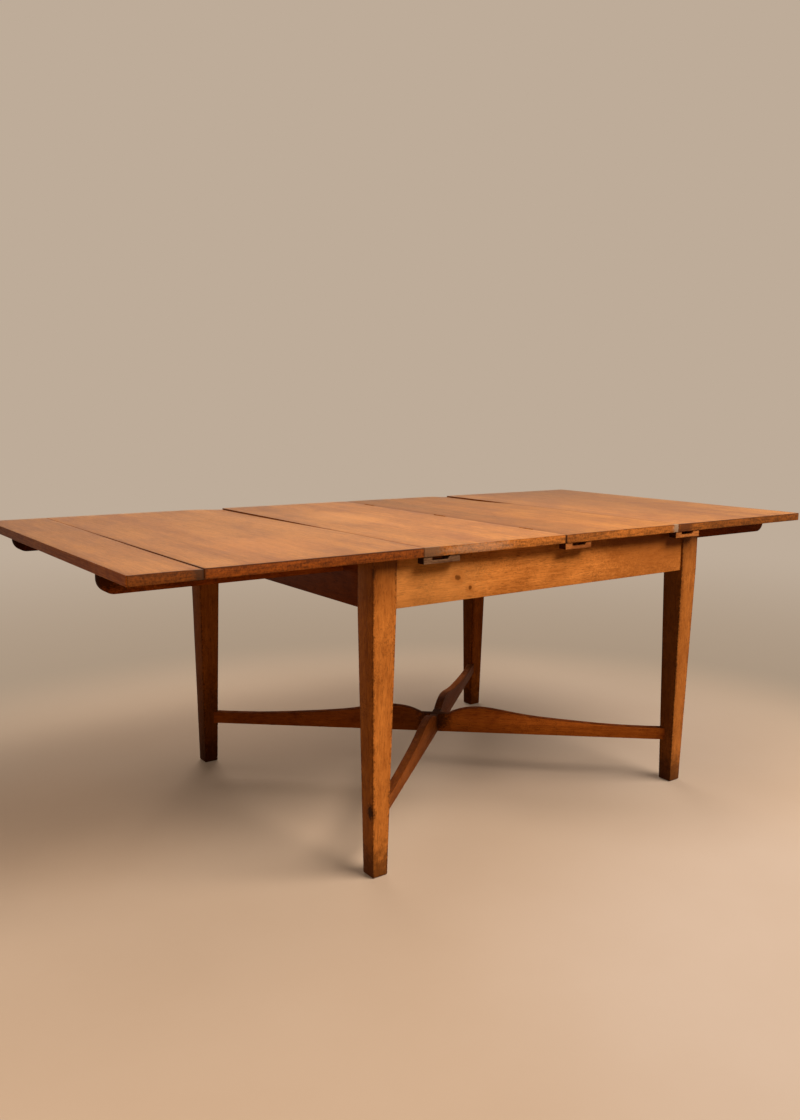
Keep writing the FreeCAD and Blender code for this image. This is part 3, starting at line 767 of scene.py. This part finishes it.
def solid_copy(node, name):
    """A closed, tidied copy of a frame node's mesh, to be shaped further."""
    deselect()
    source = NODES[node]
    piece = source.copy()
    piece.data = source.data.copy()
    piece.parent = None
    piece.matrix_world = Matrix.Identity(4)
    for key in list(piece.keys()):
        del piece[key]
    piece.name = name
    piece.data.name = name
    bpy.context.scene.collection.objects.link(piece)
    make_active(piece)
    bpy.ops.object.mode_set(mode="EDIT")
    bpy.ops.mesh.select_all(action="SELECT")
    bpy.ops.mesh.remove_doubles(threshold=MERGE)
    bpy.ops.mesh.dissolve_limited(angle_limit=math.radians(FLAT_ANGLE))
    bpy.ops.mesh.normals_make_consistent(inside=False)
    bpy.ops.object.mode_set(mode="OBJECT")
    return piece


def eased_copy(node, suffix, group, material):
    """A frame node's own shape with its arrises rounded, finished and in the node's stead."""
    piece = solid_copy(node, node + suffix)
    soften(piece, group)
    smooth(piece)
    dressed(piece, node, material)


def refinish(node, material):
    """A better material on a frame node whose shape is right."""
    piece = NODES[node]
    piece.data.materials.clear()
    piece.data.materials.append(material)
    for polygon in piece.data.polygons:
        polygon.material_index = 0


# ---------------- settings
class TableFinishSettings(bpy.types.PropertyGroup):
    """Colours of the wood."""
    top_light: bpy.props.FloatVectorProperty(
        name="Top, light", description="Wood of the top between its growth rings",
        subtype="COLOR", size=3, min=0, max=1, default=srgb(158, 97, 32))
    top_dark: bpy.props.FloatVectorProperty(
        name="Top, dark", description="Wood of the top in its growth rings",
        subtype="COLOR", size=3, min=0, max=1, default=srgb(116, 61, 13))
    base_light: bpy.props.FloatVectorProperty(
        name="Base, light", description="Wood of the legs, aprons and stretchers, between rings",
        subtype="COLOR", size=3, min=0, max=1, default=srgb(205, 120, 49))
    base_dark: bpy.props.FloatVectorProperty(
        name="Base, dark", description="Wood of the legs, aprons and stretchers, in the rings",
        subtype="COLOR", size=3, min=0, max=1, default=srgb(145, 75, 23))
    under_light: bpy.props.FloatVectorProperty(
        name="Under parts, light", description="Wood of the hidden rails and cleats",
        subtype="COLOR", size=3, min=0, max=1, default=srgb(178, 110, 58))
    under_dark: bpy.props.FloatVectorProperty(
        name="Under parts, dark", description="Growth rings of the hidden rails and cleats",
        subtype="COLOR", size=3, min=0, max=1, default=srgb(132, 74, 34))


class TableShapeSettings(bpy.types.PropertyGroup):
    """How far the pieces are worn and rounded."""
    arris: bpy.props.FloatProperty(
        name="Arris", description="Width of the rounding along each arris", default=0.0016,
        min=0.0002, max=0.005, precision=4, unit="LENGTH")
    corner: bpy.props.FloatProperty(
        name="Corner", description="Radius of the top's four corners, seen from above",
        default=0.004, min=0.001, max=0.05, precision=4, unit="LENGTH")
    hollow: bpy.props.FloatProperty(
        name="Hollows", description="Depth of the soft hollows in worn faces", default=0.0006,
        min=0.0, max=0.003, precision=4, unit="LENGTH")


class TableStageSettings(bpy.types.PropertyGroup):
    """Camera and lamps."""
    eye: bpy.props.FloatVectorProperty(
        name="Camera place", description="Where the camera stands", subtype="XYZ", size=3,
        unit="LENGTH", default=(-1.6663, -2.1843, 1.0579))
    heading: bpy.props.FloatProperty(
        name="Heading", description="Turn of the view from the table's depth towards its length",
        subtype="ANGLE", default=math.radians(35.94))
    tilt: bpy.props.FloatProperty(
        name="Tilt", description="How far the camera looks up; down is negative",
        subtype="ANGLE", default=math.radians(-8.76))
    roll: bpy.props.FloatProperty(
        name="Roll", description="Turn of the camera about its line of sight",
        subtype="ANGLE", default=math.radians(0.56))
    lens: bpy.props.FloatProperty(
        name="Lens", description="Focal length on a 36 mm sensor", default=31.24, min=10, max=200)
    key_power: bpy.props.FloatProperty(
        name="Key light", description="Power of the large lamp high at the front right",
        default=1850.0, min=0, unit="POWER")
    fill_power: bpy.props.FloatProperty(
        name="Fill light", description="Power of the wide lamp overhead", default=70.0,
        min=0, unit="POWER")
    back_power: bpy.props.FloatProperty(
        name="Back light", description="Power of the lamp behind the table", default=360.0,
        min=0, unit="POWER")
    side_power: bpy.props.FloatProperty(
        name="Side light", description="Power of the weak lamp at the left end", default=7.0,
        min=0, unit="POWER")


# ---------------- pieces
def top_board(node, material, sinks):
    """One board of the top: rounded corners at the table's ends, a worn and warped upper face."""
    shape = bpy.context.scene.table_shape
    low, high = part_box(node)
    high.z = low.z + TOP_THICKNESS
    piece = block(node + "_board", low, high)
    ends = [x for x in (low.x, high.x) if abs(x) > CAD_BOX[1][0] - NEAR]
    if ends:
        round_edges(piece, lambda a, b: abs(a.z - b.z) > TOP_THICKNESS / 2
                    and any(abs(a.x - x) < NEAR for x in ends), shape.corner, CORNER_SEGMENTS)
    slice_across(piece, 1, TOP_STRIPS)
    slice_across(piece, 0, max(FEWEST_STRIPS, round((high.x - low.x) / STRIP_WIDTH)))
    soften(piece, "top")
    wear(piece, shape.hollow, TOP_HOLLOWS, lambda v: v.co.z > high.z - NEAR)
    for depth, share in sinks:
        press(piece, depth, share)
    smooth(piece)
    dressed(piece, node, material)


def board_sinks(node):
    """Where a board has dropped below its neighbour: the depth, and its share at each point."""
    low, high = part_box(node)
    return {
        "end_board": [
            (0.0016, lambda x, y: ease(x, high.x - 0.05, high.x) * ease(-y, -0.3, 0.3))],
        "left_panel": [
            (0.0038, lambda x, y: ease(x, high.x - 0.10, high.x) * ease(y, -0.25, 0.35))],
        "leaf_right_panel": [
            (0.0042, lambda x, y: ease(x, high.x - 0.08, high.x) * ease(y, 0.12, 0.34)),
            (0.0009, lambda x, y: ease(-x, -low.x - 0.03, -low.x))],
    }.get(node, [])


class TABLE_OT_top(bpy.types.Operator):
    """Models the five boards of the top and gives each its own figure"""
    bl_idname = "table.top"
    bl_label = "Top boards"

    def execute(self, context):
        finish = context.scene.table_finish
        light = tuple(finish.top_light)
        dark = tuple(finish.top_dark)
        dirt_and_shade = shade(tuple(finish.base_dark), KEEPS["joints"])
        front = -TOP_WIDTH / 2
        middle = TOP_HEIGHT - TOP_THICKNESS / 2
        for seed, node in enumerate(TOP_BOARDS, SEEDS["top"]):
            low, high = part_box(node)
            look = TOP_LOOKS[node]
            step = (high.x - low.x) / len(look["tones"])
            planks = [(low.x + step * number, tone) for number, tone in enumerate(look["tones"])]
            planks[0] = (low.x - EDGE_MARGIN, look["tones"][0])
            patches = [((dx + (low.x if dx >= 0 else high.x), front, middle), reach, strength, tint)
                       for dx, reach, strength, tint in TOP_PATCHES.get(node, ())]
            patches += [((low.x + dx, y, TOP_HEIGHT), reach, strength, tint)
                        for dx, y, reach, strength, tint in TOP_STREAKS.get(node, ())]
            sides = ((low.x, *look["left"]), (high.x, *look["right"]))
            material = wood("oak_" + node, light, dark, grain="Y", seed=seed, planks=planks,
                            patches=patches, ends=cut_ends(look["end"], "top"), gloss=0.12,
                            specks=0.25, rough=0.5, mottle=0.6, contrast=1.3,
                            faded=look["faded"], polish=look["polish"], sides=TOP_SIDE_LIGHT,
                            edges=joint_dirt_and_shade(sides, look["arris"], dirt_and_shade))
            top_board(node, material, board_sinks(node))
        return {"FINISHED"}


def tapered_leg(node, material):
    """Leg: a square head, tapered below the aprons on all four faces, with a worn foot."""
    shape = bpy.context.scene.table_shape
    low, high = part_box(node)
    middle = (low + high) / 2
    piece = block(node + "_turned", (low.x, low.y, KNEE), high)
    for drop, scale in ((KNEE - FOOT_CHAMFER, FOOT_SIZE / (high.x - low.x)),
                        (FOOT_CHAMFER, (FOOT_SIZE - 2 * FOOT_CHAMFER) / FOOT_SIZE)):
        select_none("FACE")
        lowest = min(face.center.z for face in piece.data.polygons)
        for face in piece.data.polygons:
            face.select = abs(face.center.z - lowest) < NEAR
        bpy.ops.object.mode_set(mode="EDIT")
        bpy.ops.mesh.extrude_region_move(TRANSFORM_OT_translate={"value": (0, 0, -drop)})
        bpy.ops.transform.resize(value=(scale, scale, 1),
                                 center_override=(middle.x, middle.y, 0))
        bpy.ops.object.mode_set(mode="OBJECT")
    slice_across(piece, 2, LEG_STRIPS)
    soften(piece, "legs", LEG_ANGLE)
    foot, head = LEG_WORN
    wear(piece, shape.hollow, LEG_HOLLOWS, lambda v: foot < v.co.z < high.z - head)
    smooth(piece)
    dressed(piece, node, material)


class TABLE_OT_legs(bpy.types.Operator):
    """Models the four tapered legs"""
    bl_idname = "table.legs"
    bl_label = "Legs"

    def execute(self, context):
        finish = context.scene.table_finish
        for seed, node in enumerate(LEGS, SEEDS["legs"]):
            low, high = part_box(node)
            # Painted light and shade in the leg's tint and in some of its spots.
            tone = LEG_LIGHT_AND_SHADE_TINTS.get(node, 1.0)
            light = shade(tuple(finish.base_light), tone)
            dark = shade(tuple(finish.base_dark), tone)
            dirt_and_shade = leg_dirt((low + high) / 2, high.x - low.x, shade(dark, KEEPS["leg_dirt"]))
            material = wood("oak_" + node, light, dark, grain="Z", seed=seed, ring=0.004,
                            rough=0.44, contrast=0.62, gloss=0.03 if "back" in node else 0.08,
                            ends=cut_ends(dark, "base"), edges=dirt_and_shade,
                            patches=spots_from(0, LEG_KNOCKS_AND_SHADE.get(node, ()), dark))
            tapered_leg(node, material)
        return {"FINISHED"}


class TABLE_OT_frame_boards(bpy.types.Operator):
    """Softens and finishes the aprons and the crossed stretchers"""
    bl_idname = "table.frame_boards"
    bl_label = "Aprons and stretchers"

    def execute(self, context):
        finish = context.scene.table_finish
        light = tuple(finish.base_light)
        dark = tuple(finish.base_dark)
        for seed, node in enumerate(APRONS, SEEDS["aprons"]):
            # The left apron's tint is painted shade.
            tone = APRON_TONES.get(node, 1.0)
            material = wood("oak_" + node, shade(light, tone), shade(dark, tone),
                            grain="X" if node in APRONS[:2] else "Y",
                            seed=seed, knots=APRON_KNOTS if node == "apron_front" else (),
                            patches=spots_from(0, APRON_SPOTS.get(node, ()), light),
                            rough=0.46, gloss=0.05, contrast=0.62,
                            ends=cut_ends(dark, "base"))
            eased_copy(node, "_board", "aprons", material)
        for seed, node in enumerate(STRETCHERS, SEEDS["stretchers"]):
            low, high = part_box(node)
            angle = math.atan2(high.y - low.y, high.x - low.x) * (-1 if "falling" in node else 1)
            # Painted shade in the tint and, with the dust, on the upward faces.
            tone = STRETCHER_SHADE_TINTS[node]
            crossing = (low.x + high.x) / 2
            spots = spots_from(crossing, STRETCHER_SPOTS.get(node, ()), light)
            spots += spots_from(crossing, CROSSING_SPOTS, dark)
            material = wood("oak_" + node, shade(light, tone), shade(dark, tone),
                            turn=(0, 0, -angle), axis=(math.cos(angle), math.sin(angle), 0),
                            seed=seed, ring=0.004, rough=0.5, contrast=0.7,
                            dust_and_shade_share=STRETCHER_DUST_AND_SHADE[node], gloss=0.04, patches=spots)
            eased_copy(node, "_board", "stretchers", material)
        return {"FINISHED"}


class TABLE_OT_bearers(bpy.types.Operator):
    """Softens and finishes the bearers and the rails, braces and cleats under the top"""
    bl_idname = "table.bearers"
    bl_label = "Bearers and under parts"

    def execute(self, context):
        finish = context.scene.table_finish
        light = tuple(finish.base_light)
        dark = tuple(finish.base_dark)
        along, across, strength = BEARER_UNDER_TOP_SHADE
        for seed, node in enumerate(BEARERS, SEEDS["bearers"]):
            low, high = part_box(node)
            # Painted shade: each bearer's tint, and a dark band under the top's underside.
            tone, drop = BEARER_LOOKS[node]
            outer = low.x if "left" in node else high.x
            soot = ((outer, (low.y + high.y) / 2, high.z), (along, across, drop), strength,
                    shade(dark, KEEPS["soot"]))
            material = wood("oak_" + node, shade(light, tone), shade(dark, tone), grain="X",
                            seed=seed, rough=0.6, gloss=0.02, patches=(soot,),
                            ends=cut_ends(shade(dark, tone), "bearers"))
            eased_copy(node, "_runner", "bearers", material)
        plain = {axis: wood("oak_under_" + axis, tuple(finish.under_light),
                            tuple(finish.under_dark), grain=axis, seed=SEEDS["under"], rough=0.6)
                 for axis in "XYZ"}
        for node in sorted(NODES):
            for start, grain in UNDER_GRAIN.items():
                if node.startswith(start):
                    refinish(node, plain[grain])
        return {"FINISHED"}


class TABLE_OT_keepers(bpy.types.Operator):
    """Softens and finishes the slotted keeper blocks under the edges"""
    bl_idname = "table.keepers"
    bl_label = "Keeper blocks"

    def execute(self, context):
        for seed, node in enumerate(KEEPERS, SEEDS["keepers"]):
            light, dark = (KEEPER_BARE if node.startswith("keeper_leaf_left")
                           else KEEPER_FINISHED)
            material = wood("oak_" + node, light, dark, grain="X", seed=seed, ring=0.003,
                            rough=0.6, gloss=0.04, specks=0.9, ends=cut_ends(dark, "keepers"))
            eased_copy(node, "_block", "keepers", material)
        return {"FINISHED"}


class TABLE_OT_hardware(bpy.types.Operator):
    """Finishes the brass hinges and the steel screws"""
    bl_idname = "table.hardware"
    bl_label = "Hinges and screws"

    def execute(self, context):
        brass = metal("aged_brass", *BRASS)
        steel = metal("dull_steel", *STEEL)
        for node in BRASS_PARTS:
            refinish(node, brass)
        for node in STEEL_PARTS:
            refinish(node, steel)
        return {"FINISHED"}


# ---------------- stage
def area_lamp(name, place, target, size, power, colour):
    """Large soft lamp that faces a point."""
    lamp = bpy.data.lights.new(name, "AREA")
    lamp.shape = "RECTANGLE"
    lamp.size = size[0]
    lamp.size_y = size[1]
    lamp.energy = power
    lamp.color = colour
    holder = bpy.data.objects.new(name, lamp)
    holder.location = place
    holder.rotation_euler = (Vector(target) - Vector(place)).to_track_quat("-Z", "Y").to_euler()
    bpy.context.scene.collection.objects.link(holder)
    return holder


def seen_directly(g):
    """1 for rays that come straight from the camera, a mirror or clear glass."""
    path = g.node("LightPath").socket.node
    camera, glossy, clear = (Value(g, path.outputs[name]) for name in (
        "Is Camera Ray", "Is Glossy Ray", "Is Transmission Ray"))
    return camera.do("MAXIMUM", glossy).do("MAXIMUM", clear)


def pale_floor():
    """Pale floor with painted pools of light and shadow and a painted glow; it fades into the
    backdrop far from the table.
    """
    g = Graph(bpy.data.materials.new("pale_floor"))
    place = g.place()
    pale = g.mix(g.noise(place, *NOISES["floor"]), *FLOOR_TONES)
    # Painted pools of light and shadow.
    for middle, (inner, outer), tint in FLOOR_PAINTED_LIGHT_AND_SHADOW:
        near = g.measure("DISTANCE", place, middle).step(outer, inner)
        pale = g.mix(near, pale, g.mix(1.0, pale, tint, "MULTIPLY"))
    seen = seen_directly(g)
    # Painted light: a glow that only the camera sees lifts the floor's shadows.
    g.feed("Emission Color", g.mix(seen, (0, 0, 0), shade(FLOOR_TONES[0], FLOOR_GLOW)))
    g.feed("Emission Strength", 1.0)
    g.feed("Base Color", g.mix(seen, shade(FLOOR_TONES[0], FLOOR_BOUNCE), pale))
    g.feed("Roughness", 0.8)
    g.feed("Specular IOR Level", 0.2)
    away = g.measure("DISTANCE", place, COVE_MIDDLE)
    start, end, foot_end = COVE
    glow = g.node("Emission", {}, {
        "Color": g.mix(away.step(start, foot_end), COVE_FOOT, BACKDROP)})
    floor = Value(g, g.shader.outputs[0])
    blend = g.node("MixShader", {}, [away.step(start, end) * seen, floor, glow])
    g.tree.links.new(blend.socket, g.tree.nodes["Material Output"].inputs["Surface"])
    return g.owner


def studio_world():
    """Weak warm light from all round, which shows itself as the backdrop."""
    g = Graph(bpy.data.worlds.new("studio"), "Background")
    g.feed("Color", g.mix(seen_directly(g), WORLD_LIGHT, BACKDROP))
    return g.owner


def add_camera(stage):
    """The camera at its place, turned by its heading, tilt and roll."""
    heading, tilt, roll = stage.heading, stage.tilt, stage.roll
    forward = Vector((math.sin(heading) * math.cos(tilt), math.cos(heading) * math.cos(tilt),
                      math.sin(tilt)))
    level = Vector((math.cos(heading), -math.sin(heading), 0))
    up = level.cross(forward)
    right = math.cos(roll) * level + math.sin(roll) * up
    top = -math.sin(roll) * level + math.cos(roll) * up
    camera = bpy.data.cameras.new("camera")
    camera.lens = stage.lens
    camera.sensor_width = SENSOR_WIDTH
    holder = bpy.data.objects.new("camera", camera)
    turn = Matrix((right, top, -forward)).transposed().to_4x4()
    holder.matrix_world = Matrix.Translation(stage.eye) @ turn
    bpy.context.scene.collection.objects.link(holder)
    return holder


class TABLE_OT_stage(bpy.types.Operator):
    """Adds the pale floor and backdrop, the lamps and the camera"""
    bl_idname = "table.stage"
    bl_label = "Stage"

    def execute(self, context):
        scene = context.scene
        stage = scene.table_stage
        deselect()
        bpy.ops.mesh.primitive_plane_add(size=FLOOR_SIZE, location=(0, 0, 0))
        floor = context.object
        floor.name = "floor"
        floor.data.materials.append(pale_floor())
        scene.camera = add_camera(stage)
        for name, (setting, place, target, size, colour, glossy) in LAMPS.items():
            lamp = area_lamp(name, place, target, size, getattr(stage, setting), colour)
            lamp.visible_glossy = glossy
        scene.world = studio_world()
        scene.view_settings.view_transform = "Standard"
        return {"FINISHED"}


class TABLE_PT_panel(bpy.types.Panel):
    """Lists the steps that make the table"""
    bl_idname = "TABLE_PT_panel"
    bl_label = "Draw-top table"
    bl_space_type = "VIEW_3D"
    bl_region_type = "UI"
    bl_category = "Table"

    def draw(self, context):
        layout = self.layout
        for group in (context.scene.table_finish, context.scene.table_shape,
                      context.scene.table_stage):
            for name in group.__annotations__:
                layout.prop(group, name)
        for step in STEPS:
            layout.operator(step.bl_idname)


STEPS = (TABLE_OT_stage, TABLE_OT_top, TABLE_OT_legs, TABLE_OT_frame_boards, TABLE_OT_bearers,
         TABLE_OT_keepers, TABLE_OT_hardware)
GROUPS = (TableFinishSettings, TableShapeSettings, TableStageSettings)


def register():
    """Makes the settings, the steps and the panel known to Blender."""
    for item in GROUPS + STEPS + (TABLE_PT_panel,):
        bpy.utils.register_class(item)
    bpy.types.Scene.table_finish = bpy.props.PointerProperty(type=TableFinishSettings)
    bpy.types.Scene.table_shape = bpy.props.PointerProperty(type=TableShapeSettings)
    bpy.types.Scene.table_stage = bpy.props.PointerProperty(type=TableStageSettings)


def unregister():
    """Takes away what register added."""
    del bpy.types.Scene.table_stage
    del bpy.types.Scene.table_shape
    del bpy.types.Scene.table_finish
    for item in reversed(GROUPS + STEPS + (TABLE_PT_panel,)):
        bpy.utils.unregister_class(item)


def main():
    """Makes every piece and the stage."""
    register()
    bpy.ops.table.stage()
    bpy.ops.table.top()
    bpy.ops.table.legs()
    bpy.ops.table.frame_boards()
    bpy.ops.table.bearers()
    bpy.ops.table.keepers()
    bpy.ops.table.hardware()


if __name__ == "__main__":
    main()
